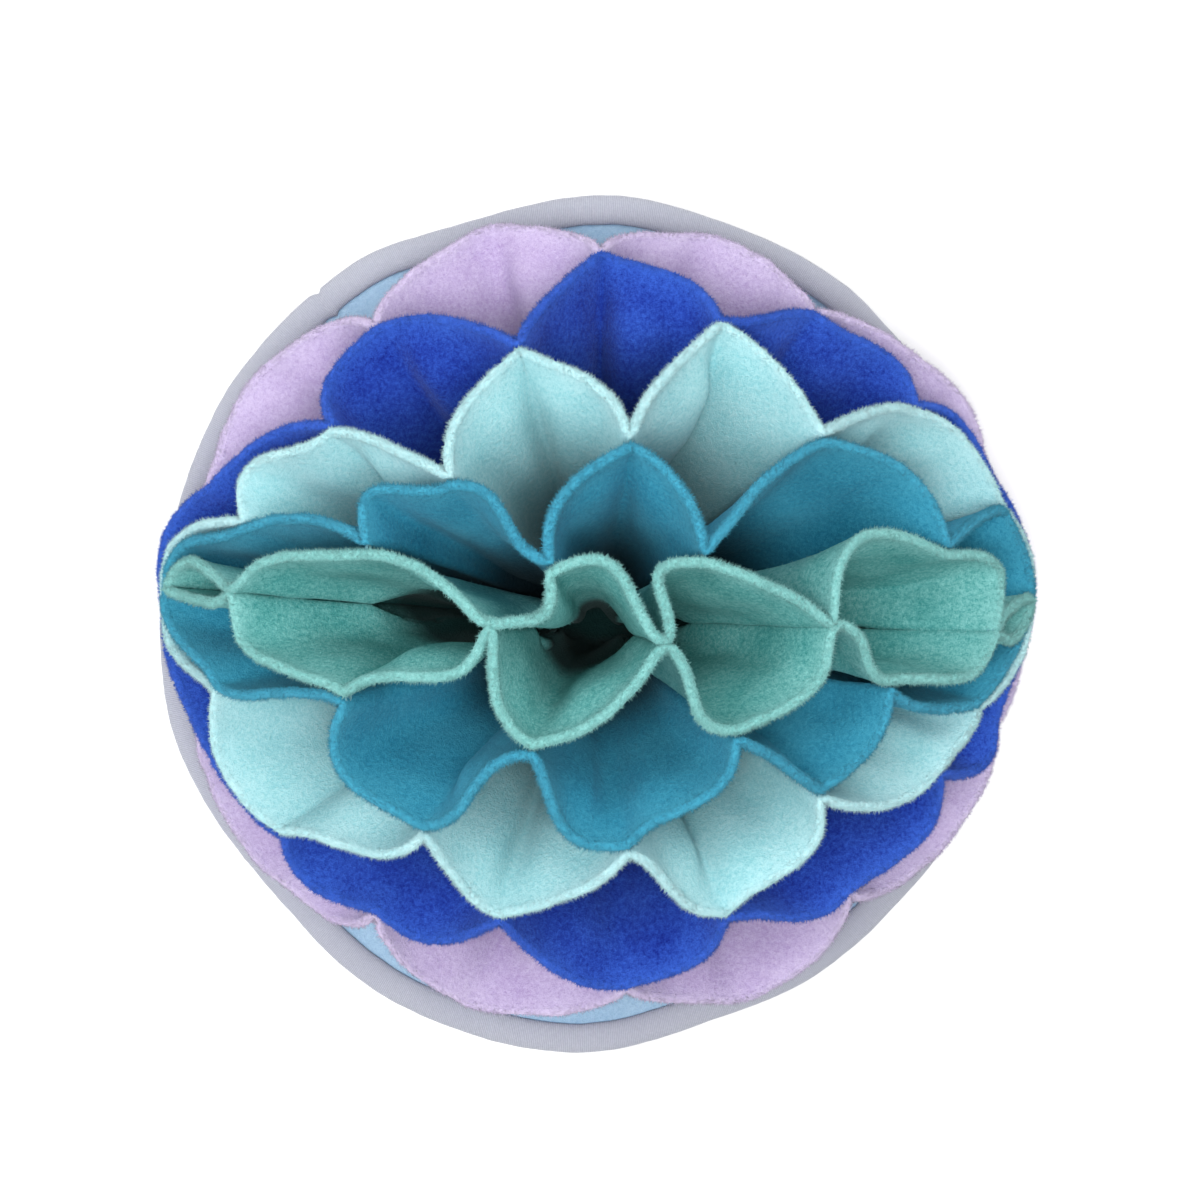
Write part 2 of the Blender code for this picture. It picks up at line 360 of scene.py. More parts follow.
def fleece(name, face, deep, lit, sheen=0.16):
    """Brushed fleece: face is its own colour, deep its shaded pile and lit the painted highlight of its
    fibre ends.
    """
    material, wire, shader = new_material(name)
    place = wire.node("ShaderNodeTexCoord", out=3)
    clumps = speckle(place, CLUMP_SCALE, 5.0, Roughness=0.7)
    fibres = speckle(place, FIBRE_SCALE, 2.0)
    cloud = speckle(place, CLOUD_SCALE, 2.0)
    rim, shade = painted(wire, "rim"), painted(wire, "shade")
    # The grain paints the light and shade of the clumps, from the shaded deep colour to the face colour,
    # and in slow clouds towards the lit colour.
    grain = clumps * 2.6 + fibres * 1.6 - 1.6
    body = grain.tint(deep, face)
    clouded_light_and_shade = (cloud * 1.2 - 0.2).tint(body, (grain * 0.7 + 0.1).tint(face, lit))
    # Painted highlight: along the cut edge the rim and the grain lift the colour towards lit.
    edged = (rim * 0.5 + grain * 0.25 - 0.1).tint(clouded_light_and_shade, lit)
    # Painted shade: deep in a cell the colour falls towards DEEPEST times the deep colour.
    plug(shader, "Base Color", shade.tint([channel * DEEPEST for channel in deep], edged))
    plug(shader, "Roughness", 0.95)
    plug(shader, "Specular IOR Level", 0.15)
    plug(shader, "Sheen Weight", sheen)
    plug(shader, "Sheen Roughness", 0.45)
    plug(shader, "Sheen Tint", (*[min(1.0, 0.35 + channel) for channel in lit], 1.0))
    pile = {"Height": clumps * 0.65 + fibres * 0.35, "Strength": PILE_BUMP, "Distance": PILE_DEEP}
    plug(shader, "Normal", wire.node("ShaderNodeBump", {}, pile))
    return material


FLEECE = {
    "leaf_lavender": fleece(
        "lavender_fleece", face=(0.52, 0.41, 0.67), deep=(0.39, 0.28, 0.54), lit=(0.76, 0.68, 0.88)
    ),
    "leaf_royal": fleece(
        "royal_fleece", face=(0.012, 0.043, 0.39), deep=(0.003, 0.010, 0.19), lit=(0.06, 0.18, 0.74)
    ),
    "leaf_aqua": fleece(
        "aqua_fleece", face=(0.35, 0.72, 0.755), deep=(0.21, 0.56, 0.615), lit=(0.64, 0.89, 0.915)
    ),
    "leaf_teal": fleece(
        "teal_fleece", face=(0.026, 0.27, 0.41), deep=(0.010, 0.16, 0.28), lit=(0.08, 0.42, 0.58)
    ),
    "leaf_mint": fleece(
        "mint_fleece", face=(0.058, 0.335, 0.325), deep=(0.03, 0.23, 0.22), lit=(0.38, 0.75, 0.72),
        sheen=0.06,
    ),
    "base_disc": fleece(
        "base_fleece", face=(0.35, 0.54, 0.72), deep=(0.27, 0.44, 0.62), lit=(0.50, 0.68, 0.82)
    ),
}
print(len(FLEECE), "fleeces")

# %% [markdown]
# ## Puffs beside the tacks
# A disc has more cloth than the straight way from its centre to its edge needs, and the spare cloth
# puffs up beside the tacks, more on one side than on the other. It catches the light there, and that
# is how the folds read from above. Each row gives a tack on the disc's outer side by its bearing, how
# many millimetres the cloth puffs towards the flower's middle before it and after it, and how many
# degrees from the tack it is highest. Every other disc also leans out a little beside its inner
# tacks. The mint disc is tacked to itself there, and low down, below those tacks, its left half sinks
# away from the fold and leaves dark holes.

# %% Puffs
Puff = namedtuple("Puff", "bearing before after reach", defaults=(6,))
PUFFS = [
    [
        Puff(0, 2, 2), Puff(36, 3, 4), Puff(72, 4, 5), Puff(108, 11, 3), Puff(144, 5, 4),
        Puff(180, 2, 2), Puff(216, 4, 4), Puff(252, 5, 4), Puff(288, 4, 4), Puff(324, 4, 3),
    ],
    [
        Puff(18, 3, 3), Puff(54, 4, 6), Puff(90, 14, 3), Puff(126, 12, 1, 4), Puff(162, 3, 3),
        Puff(198, 3, 3), Puff(234, 5, 5), Puff(270, 6, 4), Puff(306, 3, 5), Puff(342, 3, 3),
    ],
    [
        Puff(0, 2, 2), Puff(36, 4, 7), Puff(72, 2, 11, 4), Puff(108, 6, 7), Puff(144, 10, 4),
        Puff(180, 2, 2), Puff(216, 4, 7), Puff(252, 6, 5), Puff(288, 10, 4), Puff(324, 3, 4),
    ],
    [
        Puff(18, 3, 3), Puff(54, 3, 5), Puff(90, 5, 5), Puff(126, 6, 4), Puff(162, 3, 3),
        Puff(198, 2, 2), Puff(234, 2, 8), Puff(270, 9, 3), Puff(306, 4, 3), Puff(342, 2, 2),
    ],
    [
        Puff(0, 1, 1), Puff(36, 2, 3), Puff(72, 3, 3), Puff(108, 3, 3), Puff(144, 5, 2),
        Puff(180, 1, 1), Puff(216, 2, 6), Puff(252, 3, 6), Puff(288, 4, 3), Puff(324, 3, 2),
    ],
]
OUTWARD_PUFF = 3.2
PUFF_FROM, PUFF_GROWS, PUFF_TO, PUFF_FADES = 0.42, 0.4, 0.84, 0.16
SEAM_SHARE = 0.58
HOLE_DEEP, HOLE_WIDE = 4.5, 8.0
HOLE_FROM, HOLE_GROWS, HOLE_TO, HOLE_FADES = 0.38, 0.1, SEAM_SHARE + 0.04, 0.12


def closeness(distance, width):
    """1 at no distance, and fading away over about twice width."""
    return np.exp(-((distance / width) ** 2))


def swell(distance, reach=6):
    """How a pinched sheet puffs up beside a tack: nothing at the tack, most at reach degrees."""
    return smooth(distance / reach) * (1 - smooth((distance - reach) / (STAGGER - reach)))


def to_the_right(bearings):
    """How far a bearing lies in the mint disc's shallow half, from 0 to 1."""
    return smooth((np.cos(np.radians(bearings)) - 0.1) / 0.4)


def from_tack(index, bearings):
    """Degrees from each bearing to the nearest tack on the outer side, with its sign."""
    return (bearings - STAGGER * (index % 2) + STAGGER) % (2 * STAGGER) - STAGGER


def puff(index, bearings, shares):
    """How far each point bulges towards the flower's middle, in millimetres."""
    signed = from_tack(index, bearings)
    nearest = ((bearings - signed) // (2 * STAGGER)).round().astype(int) % len(PUFFS[index])
    table = np.array(PUFFS[index])
    bulge = np.where(signed < 0, table[nearest, 1], table[nearest, 2])
    bulge = bulge * swell(np.abs(signed), table[nearest, 3])
    near_rim = smooth((shares - PUFF_TO) / PUFF_FADES)
    up_the_side = smooth((shares - PUFF_FROM) / PUFF_GROWS) * (1 - near_rim)
    from_inner_tack = STAGGER - np.abs(signed)
    if index != MINT:
        outward = OUTWARD_PUFF * swell(from_inner_tack)
        return (bulge - outward)[:, None] * up_the_side[None]
    low = smooth((HOLE_TO - shares) / HOLE_FADES) * smooth((shares - HOLE_FROM) / HOLE_GROWS)
    deep_half = 1 - to_the_right(bearings)
    hole = (closeness(from_inner_tack, HOLE_WIDE) * deep_half)[:, None] * (HOLE_DEEP * low)[None]
    return bulge[:, None] * up_the_side[None] - hole


print("fullest puff", max(max(row.before, row.after) for rows in PUFFS for row in rows), "mm")

# %% [markdown]
# ## How dark the cells are
# Light that falls into a cell of thick fleece is swallowed by its walls after a bounce or two, so in
# the photograph the bottoms are nearly black, more than lamps and a pale floor make them here. So each
# disc keeps all its light above one share of the way out, and the least below another. The mint cells
# at the right are shallow and stay light, and the teal disc's narrow cells at the back are darker.

# %% Painted shade in the cells
CellShade = namedtuple("CellShade", "low high dark")
# Painted shade: each row darkens the colour of a disc deep in its cells, down to dark times the colour.
SHADES = [
    CellShade(0.45, 1.0, 0.4), CellShade(0.45, 1.0, 0.34), CellShade(0.42, 1.0, 0.28),
    CellShade(0.4, 0.66, 0.03), CellShade(0.46, 0.58, 0.02),
]
NARROW_AT, NARROW_WIDE, NARROW_HIGHER = 90, 40, 0.16
SHALLOW_LOWER, SHALLOW_SOONER = 0.25, 0.15


def shade_of(index, bearings, shares):
    """How much of its colour each point keeps under the painted shade, from 0 to 1."""
    low, high, dark = SHADES[index]
    shallow = to_the_right(bearings) * (index == MINT)
    narrow = closeness(bearings - NARROW_AT, NARROW_WIDE) * (index == TEAL)
    low = low - SHALLOW_LOWER * shallow
    high = high - SHALLOW_SOONER * shallow + NARROW_HIGHER * narrow
    return dark + (1 - dark) * smooth((shares - low) / (high - low))


for leaf, shade in zip(LEAVES, SHADES):
    print(leaf, "keeps", shade.dark, "of its light at the bottom of its cells")

# %% [markdown]
# ## Softening, normals and noise
# The law of the fold leaves sharp lines at each tack, where real fleece turns in a soft roll. Averaging
# each column of the grid with its neighbours rounds such a line, and a little smooth noise along the
# normals takes away the look of a ruled surface.

# %% Tools for a grid of points
def soften(grid, width):
    """Rounds a grid's creases by averaging each column with its neighbours."""
    steps = range(-int(3 * width) - 1, int(3 * width) + 2)
    weights = np.exp(-0.5 * (np.array(steps) / width) ** 2)
    weights /= weights.sum()
    return sum(np.roll(grid, step, 0) * weight for step, weight in zip(steps, weights))


def normals_of(grid):
    """Unit normals of a closed ring of columns, on the side of the flower's middle."""
    round_way = np.roll(grid, -1, 0) - np.roll(grid, 1, 0)
    out_way = np.gradient(grid, axis=1)
    return unit(np.cross(out_way, round_way))


def ripple(grid, size, seed):
    """Smooth noise at each point of a grid, from about -1 to 1."""
    flat = grid.reshape(-1, 3) / size + seed
    return np.array([noise.noise(Vector(point)) for point in flat]).reshape(grid.shape[:2])


trial = ripple(np.array([[[x, y, 0.0] for y in range(20)] for x in range(20)]), 3.0, 0.5)
print("a trial ripple goes from", trial.min().round(2), "to", trial.max().round(2))

# %% [markdown]
# ## The middle of a sheet
# First the shape without thickness. The folded grid is softened, more in its body than at its rim,
# where the tacks pull it straight. The lavender lobes hang free, so they are rounded further and filled
# out. The puffs come next, and then the mint disc's own seams: it is tacked to itself across the fold,
# and below each tack its two halves press into each other. So there each point is moved part of the
# way towards the one across the fold. Last come two sizes of unevenness.

# %% Draping a sheet
BODY_SOFT, CREASE_SOFT, EDGE_SOFT, LOBE_SOFT = 1.8, 1.5, 0.5, 4.0
RULED_FROM, RULED_OVER = 0.78, 0.18
SEAM_WIDE, SEAM_CLOSED = 2.5, 0.6
LOBE_WIDE, LOBE_FULLER = 8.0, 1.6
WAIST_AT, WAIST_WIDE, WAIST_IN = 13.5, 3.5, 2.0
SLOW_WIDE, SLOW_HIGH = 30.0, 1.1
QUICK_WIDE, QUICK_HIGH = 10.0, 0.4


def seam_hold(bearings, shares):
    """How firmly the mint disc's halves are pressed together, from 0 to 1."""
    at_seam = closeness(STAGGER - np.abs(from_tack(MINT, bearings)), SEAM_WIDE)[:, None, None]
    lowest = SEAM_SHARE - 0.2 * to_the_right(bearings)[:, None, None]
    return at_seam * smooth((shares[None, :, None] - lowest) / 0.06)


def round_lobes(grid, bearings, shares):
    """Rounds the lavender disc's lobes, fills them out and draws in their waists."""
    away = np.abs(from_tack(LAVENDER, bearings))
    lobe = closeness(away, LOBE_WIDE)[:, None, None]
    waist = closeness(away - WAIST_AT, WAIST_WIDE)[:, None, None]
    grid = mixed(grid, soften(grid, LOBE_SOFT), lobe)
    outward = unit((grid - centre_of(LAVENDER)) * [1.0, 1.0, 0.0])
    fuller = LOBE_FULLER * lobe - WAIST_IN * waist
    return grid + outward * fuller * smooth((shares - 0.3) / 0.7)[None, :, None]


def drape(index, bearings, shares):
    """The middle of a disc as soft, uneven cloth."""
    near_edge = smooth((shares - RULED_FROM) / RULED_OVER)[None, :, None]
    held = seam_hold(bearings, shares) if index == MINT else 0.0
    folded = fold(index, bearings, shares)
    ruled = soften(folded, EDGE_SOFT)
    grid = mixed(mixed(soften(folded, BODY_SOFT), ruled, near_edge), ruled, held)
    if index == LAVENDER:
        grid = round_lobes(grid, bearings, shares)
    grid = grid + normals_of(grid) * puff(index, bearings, shares)[:, :, None]
    grid = mixed(soften(grid, CREASE_SOFT), grid, near_edge)
    if index == MINT:
        across_the_fold = np.roll(grid[::-1], 1, 0)
        grid = mixed(grid, (grid + across_the_fold) / 2, held * SEAM_CLOSED)
    slow = ripple(grid, SLOW_WIDE, 3.0) * SLOW_HIGH * smooth(shares * 1.6)
    grid = grid + normals_of(grid) * slow[:, :, None]
    quick = ripple(grid, QUICK_WIDE, 8.0) * QUICK_HIGH
    return grid + normals_of(grid) * quick[:, :, None]


print("a crease is rounded over", 2 * BODY_SOFT, "columns in the body and", 2 * EDGE_SOFT, "at the rim")

# %% [markdown]
# ## A mesh that rides with its node
# Each dressed piece stands in for one plain solid: it hides that node and rides on the one body of the
# mat. The two painted values, rim and shade, are stored on its points.

# %% Placing a mesh
MM = 0.001


def mesh_object(name, points, faces, material, node, rim=None, shade=None):
    mesh = bpy.data.meshes.new(name)
    mesh.from_pydata((points * MM).tolist(), [], faces)
    rim = np.zeros(len(points)) if rim is None else rim
    shade = np.ones(len(points)) if shade is None else shade
    for attribute, values in (("rim", rim), ("shade", shade)):
        mesh.attributes.new(attribute, "FLOAT", "POINT").data.foreach_set("value", values)
    mesh.polygons.foreach_set("use_smooth", [True] * len(faces))
    mesh.materials.append(material)
    mesh.update()
    obj = bpy.data.objects.new(name, mesh)
    bpy.context.scene.collection.objects.link(obj)
    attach(obj, "root")
    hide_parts(node)
    print(name, len(faces), "faces")
    return obj


# %% [markdown]
# ## From a folded surface to cloth
# A sheet of fleece has two faces and a soft, rounded edge. The grid of its middle is pushed out both
# ways along its own normals, and the last two millimetres are rounded off like the end of a matchstick,
# with rows crowded there to carry the curve. The rim is a little thicker than the body, where the pile
# is open, and it wanders in and out by half a millimetre as scissors leave it. The two skins are one
# closed mesh, since the disc is one piece of cloth.

# %% Making a cloth mesh
COLUMNS = 480
HALF_THICK, EDGE_THICK = 1.55, 1.9
ROUND = 1.9
ROUND_STEPS = (1.0, 0.72, 0.45, 0.22, 0.06, 0.0)
SHARES = np.concatenate([[0.03, 0.065], np.linspace(0.10, 0.97, 34), [0.984]])
UNEVEN_OVER = 8.0
TUFT_WIDE, TUFT_HIGH = 3.6, 0.10
Skins = namedtuple("Skins", "inner outer normal shares")


def cut_unevenly(grid, away):
    """Lets the rim wander in and out a little, fading over the last eight millimetres."""
    rim = grid[:, -1:]
    uneven = (ripple(rim, 1.9, 5.0) * 0.3 + ripple(rim, 9.0, 6.0) * 0.5)[:, :, None]
    outward = unit(rim - grid[:, -9:-8])
    return grid + outward * uneven * (1 - smooth(away / UNEVEN_OVER))[None, :, None]


def half_thickness(away):
    """Half the cloth's thickness, by how far a row is from the rim."""
    full = HALF_THICK + (EDGE_THICK - HALF_THICK) * (1 - smooth((away - 2) / 5))
    return full * np.sqrt(np.clip(1 - (1 - np.clip(away / ROUND, 0, 1)) ** 2, 0, 1))


def over_both_skins(values):
    """Values of one skin, for the points of both and for the two poles."""
    return np.concatenate([np.concatenate([values, values[:, -2::-1]], 1).ravel(), [0.0, 0.0]])


def closed_over_the_rim(inner, outer):
    """Points and faces of two skins that meet at the rim, with a pole in the middle of each."""
    ring = np.concatenate([inner, outer[:, -2::-1]], 1)
    tall = ring.shape[1]
    inner_pole, outer_pole = COLUMNS * tall, COLUMNS * tall + 1
    faces = []
    for column in range(COLUMNS):
        here, there = column * tall, (column + 1) % COLUMNS * tall
        faces.append((inner_pole, here, there))
        for row in range(tall - 1):
            faces.append((here + row, here + row + 1, there + row + 1, there + row))
        faces.append((outer_pole, there + tall - 1, here + tall - 1))
    poles = [inner[:, 0].mean(0), outer[:, 0].mean(0)]
    return np.concatenate([ring.reshape(-1, 3), poles]), faces


def cloth(index):
    """A fleece disc with both its faces, closed over its rounded edge."""
    leaf = LEAVES[index]
    bearings = np.arange(COLUMNS) * 360.0 / COLUMNS
    rim_points = fold(index, bearings, [1.0])[:, 0]
    length = np.linalg.norm(rim_points - centre_of(index), axis=1).mean()
    shares = np.concatenate([SHARES, 1.0 - np.array(ROUND_STEPS) * ROUND / length])
    away = (1.0 - shares) * length
    grid = cut_unevenly(drape(index, bearings, shares), away)
    normal = normals_of(grid)
    half = half_thickness(away)
    tufts = [ripple(grid, TUFT_WIDE, index + side) * TUFT_HIGH for side in (0.3, 0.7)]
    inner = grid + normal * (half + tufts[0] * half / HALF_THICK)[:, :, None]
    outer = grid - normal * (half + tufts[1] * half / HALF_THICK)[:, :, None]
    points, faces = closed_over_the_rim(inner, outer)
    # rim is a painted highlight along the cut edge: a narrow bright band and a wider fade.
    rim = 0.35 * (1 - smooth((away - 0.6) / 3.5)) + 0.5 * (1 - smooth(away / 14))
    rim = over_both_skins(np.tile(rim, (COLUMNS, 1)))
    # shade is the painted shade that darkens the colour deep in the cells.
    shade = over_both_skins(shade_of(index, bearings[:, None], shares[None]))
    name = leaf.replace("leaf", "fleece")
    sheet = mesh_object(name, points, faces, FLEECE[leaf], leaf, rim, shade)
    print(name, "is", round(length), "mm from centre to edge")
    return sheet, Skins(inner, outer, normal, shares)


print(COLUMNS, "columns and", len(SHARES) + len(ROUND_STEPS), "rows for each skin")

# %% [markdown]
# ## Loose fibres
# What makes fleece read as fleece is its outline: a halo of short fibres stands out from every cut
# edge and folded rim. Hair particles would give that, but they don't export, so each fibre is a thin
# three-sided spike rooted in the cloth. Most of them stand along the edge, where they show.

# %% Growing fibres
FIBRES_EDGE, FIBRES_FACE = 25000, 6000
FIBRE_LONG, FIBRE_WIDE, FIBRE_SPREAD = 2.1, 0.15, 0.55
LOWEST_ROW = 12
EDGE_FIBRE_HIGHLIGHT, FACE_FIBRE_HIGHLIGHT = 1.25, 0.5


def spikes(root, push, tall, rng):
    """Points and faces of a three-sided spike for each root."""
    sideways = unit(np.cross(push, rng.normal(0, 1, push.shape)))
    other = np.cross(push, sideways)
    foot = root - push * 0.25
    corners = [
        foot + FIBRE_WIDE * (sideways * math.cos(turn) + other * math.sin(turn))
        for turn in (0, 2.1, 4.2)
    ]
    points = np.stack([*corners, root + push * tall], 1).reshape(-1, 3)
    faces = []
    for a in range(0, len(points), 4):
        faces += [(a, a + 1, a + 3), (a + 1, a + 2, a + 3), (a + 2, a, a + 3)]
    return points, faces


def grow_fibres(index, skins):
    leaf, shares = LEAVES[index], skins.shares
    rng = np.random.default_rng(40 + index)
    count = FIBRES_EDGE + FIBRES_FACE
    columns = rng.random(count) * COLUMNS
    first = columns.astype(int)
    last = (first + 1) % COLUMNS
    blend = (columns - first)[:, None]
    rounded_from = len(shares) - len(ROUND_STEPS)
    row = np.empty(count, int)
    row[:FIBRES_EDGE] = rng.choice(np.arange(rounded_from - 1, len(shares)), FIBRES_EDGE)
    row[FIBRES_EDGE:] = rng.integers(LOWEST_ROW, rounded_from, FIBRES_FACE)
    side = rng.choice([-1.0, 1.0], count)[:, None]
    skin = np.where(side[:, 0] > 0, 1, 0)
    both = np.stack([skins.outer, skins.inner])
    root = both[skin, first, row] * (1 - blend) + both[skin, last, row] * blend
    outward = unit(skins.inner[first, -1] - skins.inner[first, -8])
    at_edge = (row >= rounded_from)[:, None]
    push = skins.normal[first, row] * side * np.where(at_edge, 0.75, 1.0) + outward * at_edge * 0.9
    push = unit(push + rng.normal(0, FIBRE_SPREAD, (count, 3)))
    tall = FIBRE_LONG * rng.uniform(0.35, 1.0, (count, 1)) * np.where(at_edge, 1.0, 0.6)
    points, faces = spikes(root, push, tall, rng)
    # Painted highlight on the fibres: their rim value lifts them towards the lit colour, most at the
    # edge, and the cells' painted shade darkens those deep down.
    rim = np.repeat(np.where(at_edge[:, 0], EDGE_FIBRE_HIGHLIGHT, FACE_FIBRE_HIGHLIGHT), 4)
    shade = np.repeat(shade_of(index, columns * 360 / COLUMNS, shares[row]), 4)
    return mesh_object(leaf.replace("leaf", "pile"), points, faces, FLEECE[leaf], leaf, rim, shade)


print(FIBRES_EDGE + FIBRES_FACE, "fibres for each disc")

# %% [markdown]
# ## The stitches
# At each tack a few turns of thread pull two discs together. On the real mat they are sunk in the pile
# and hardly show, so a plain thread will do. It is twisted from strands, and one wave texture draws
# that twist both in its colour and in its bump.

# %% The thread
def thread_material():
    material, wire, shader = new_material("tack_thread")
    place = wire.node("ShaderNodeTexCoord", out=3)
    strands = {"Vector": place, "Scale": 700.0, "Distortion": 1.0}
    twist = wire.node("ShaderNodeTexWave", {}, strands, out=1)
    plug(shader, "Base Color", twist.tint((0.10, 0.30, 0.36), (0.20, 0.44, 0.50)))
    plug(shader, "Roughness", 0.6)
    ridges = {"Height": twist, "Strength": 0.5, "Distance": 0.0003}
    plug(shader, "Normal", wire.node("ShaderNodeBump", {}, ridges))
    return material


THREAD = thread_material()
print("material", THREAD.name)

# %% [markdown]
# ## Sewing
# Each tack is a few short loops of thread that pass through both discs, a few millimetres in from the
# rim. A bevelled curve would make such a loop too, but it would have to be turned into a mesh, so the
# loops are swept straight away as thin rings of points. Each leans a little its own way, as hand
# stitches do.

# %% Sewing the tacks
THREAD_WIDE, LOOP_TURNS = 0.22, 3
LOOP_STEPS, THREAD_SIDES = 14, 5
LOOP_WIDE, LOOP_TALL = 1.9, 1.1
SEWN_IN, LOOP_APART, LOOP_LEAN = 3.4, 0.5, 0.12


def ring_of_thread(middle, across, along, start):
    """One loop of thread as a closed tube of points and faces."""
    turn = np.cross(across, along)
    points = []
    for step in range(LOOP_STEPS):
        a = math.tau * step / LOOP_STEPS
        out = across * math.cos(a) + along * math.sin(a)
        spot = middle + across * math.cos(a) * LOOP_WIDE + along * math.sin(a) * LOOP_TALL
        for side in range(THREAD_SIDES):
            b = math.tau * side / THREAD_SIDES
            points.append(spot + (out * math.cos(b) + turn * math.sin(b)) * THREAD_WIDE)
    faces = []
    for step in range(LOOP_STEPS):
        low = start + step * THREAD_SIDES
        high = start + (step + 1) % LOOP_STEPS * THREAD_SIDES
        for side in range(THREAD_SIDES):
            after = (side + 1) % THREAD_SIDES
            faces.append((low + side, high + side, high + after, low + after))
    return points, faces


def sew_tacks():
    rng = np.random.default_rng(5)
    for index, leaf in enumerate(LEAVES):
        rows = PAIRS[index + 1]
        fixed, centre = stations(index), centre_of(index)
        points, faces = [], []
        for row in rows[:5] if index == MINT else rows:
            station = fixed[row.bearing]
            outward = unit(station.place - centre)
            turn = np.cross(station.across, outward)
            for loop in range(LOOP_TURNS):
                middle = station.place - outward * SEWN_IN + turn * (loop - 1) * LOOP_APART
                lean = unit(outward + turn * rng.normal(0, LOOP_LEAN))
                more, quads = ring_of_thread(middle, station.across, lean, len(points))
                points += more
                faces += quads
        mesh_object(leaf.replace("leaf", "tacks"), np.array(points), faces, THREAD, leaf)


print(LOOP_TURNS, "loops of thread at each tack")

# %% [markdown]
# ## The five discs
# The discs are made from the outside in, as the mat is sewn: lavender, royal blue, aqua, teal and mint.
# They are gathered at their tacks, and each rests on the one outside it.

# %% The discs in place
for index in range(len(LEAVES)):
    sheet, skins = cloth(index)
    pile = grow_fibres(index, skins)
sew_tacks()

# %% [markdown]
# ## Turning the base
# The base is a thin pad faced with light blue fleece, and a ribbed knit binding is rolled over its edge
# and sewn. Both are turned from a profile, like the solids, with far more steps. Cloth on cloth never
# stays a true circle, so the outline has slow dents. Each row below is one, by its bearing and its
# depth in millimetres, read from the photograph wherever the binding shows.

# %% A turned and dented shape
Dent = namedtuple("Dent", "bearing depth")
DENTS = [
    Dent(0, 3.0), Dent(42, 4.2), Dent(54, 2.6), Dent(70, 3.1), Dent(86, 0.9), Dent(107, 4.6),
    Dent(124, 0.0), Dent(146, 0.0), Dent(163, 1.4), Dent(192, 0.0), Dent(221, 6.4), Dent(243, 1.8),
    Dent(267, 0.1), Dent(289, 6.2), Dent(301, 5.0), Dent(317, 5.5), Dent(335, 4.0),
]
BASE_RADIUS, BASE_STEPS = 180.0, 540


def dent(degrees):
    degrees %= 360
    rows = [*DENTS, Dent(DENTS[0].bearing + 360, DENTS[0].depth)]
    for row, after in zip(rows, rows[1:]):
        if degrees <= after.bearing:
            t = (degrees - row.bearing) / (after.bearing - row.bearing)
            return mixed(row.depth, after.depth, smooth(t))


def turned(profile, closed):
    """Points and faces of a profile of (radius, height) spun round and dented."""
    profile = np.array(profile)
    count = len(profile)
    bearings = np.arange(BASE_STEPS) * 360.0 / BASE_STEPS
    depth = np.array([dent(degrees) for degrees in bearings])[:, None]
    radius = profile[None, :, 0] - depth * smooth(profile[None, :, 0] / BASE_RADIUS)
    angle = np.radians(bearings)[:, None]
    height = np.broadcast_to(profile[None, :, 1], radius.shape)
    points = np.stack([radius * np.cos(angle), radius * np.sin(angle), height], 2)
    faces = []
    for step in range(BASE_STEPS):
        here, there = step * count, (step + 1) % BASE_STEPS * count
        for spot in range(count if closed else count - 1):
            after = (spot + 1) % count
            faces.append((here + spot, there + spot, there + after, here + after))
    return points, faces, bearings


print("deepest dent", max(row.depth for row in DENTS), "mm")

# %% [markdown]
# ## The base disc
# Its top is slightly padded, so the fleece rises and sinks a little, and its edge steps down into the
# slot of the binding.

# %% Making the base disc
PAD_THICK = 5.0


def make_base_disc():
    top = [(radius, PAD_THICK) for radius in np.linspace(4.0, 150.0, 26)]
    rolled = [(155.0, 5.0), (160.0, 5.15), (164.0, 5.3), (167.0, 5.3), (170.0, 5.2), (172.3, 4.6)]
    under = [(172.4, 2.6), (166.8, 2.3), (165.0, 0.2), (163.0, 0.0), (4.0, 0.0)]
    points, faces, _ = turned(top + rolled + under, False)
    count = points.shape[1]
    soft = points[:, : len(top) + 2]
    soft[:, :, 2] += ripple(soft, 38.0, 2.0) * 0.35 + ripple(soft, 9.0, 4.0) * 0.12 - 0.1
    points = np.concatenate([points.reshape(-1, 3), [[0, 0, PAD_THICK - 0.1], [0, 0, 0]]])
    top_pole, under_pole = BASE_STEPS * count, BASE_STEPS * count + 1
    for step in range(BASE_STEPS):
        here, there = step * count, (step + 1) % BASE_STEPS * count
        faces.append((top_pole, here, there))
        faces.append((under_pole, there + count - 1, here + count - 1))
    disc = mesh_object("base_fleece", points, faces, FLEECE["base_disc"], "base_disc")


make_base_disc()

# %% [markdown]
# ## The binding
# The binding is a strip of ribbed knit, whose fine ridges run across it. They follow the bearing, so
# the material works that out from the place on the mat. The roll is gathered a little as it goes round,
# and its two ends meet in a small nick at the upper left.

# %% Making the binding
RIBS_ROUND = 1400.0
SEAM_BEARING, SEAM_NICK, NICK_WIDE = 129.5, 1.6, 0.45
ROLL_INNER, SLOT_END, SLOT_LOW, SLOT_HIGH = 167.5, 172.9, 1.9, 5.7
ROLLED_SPOTS = 12


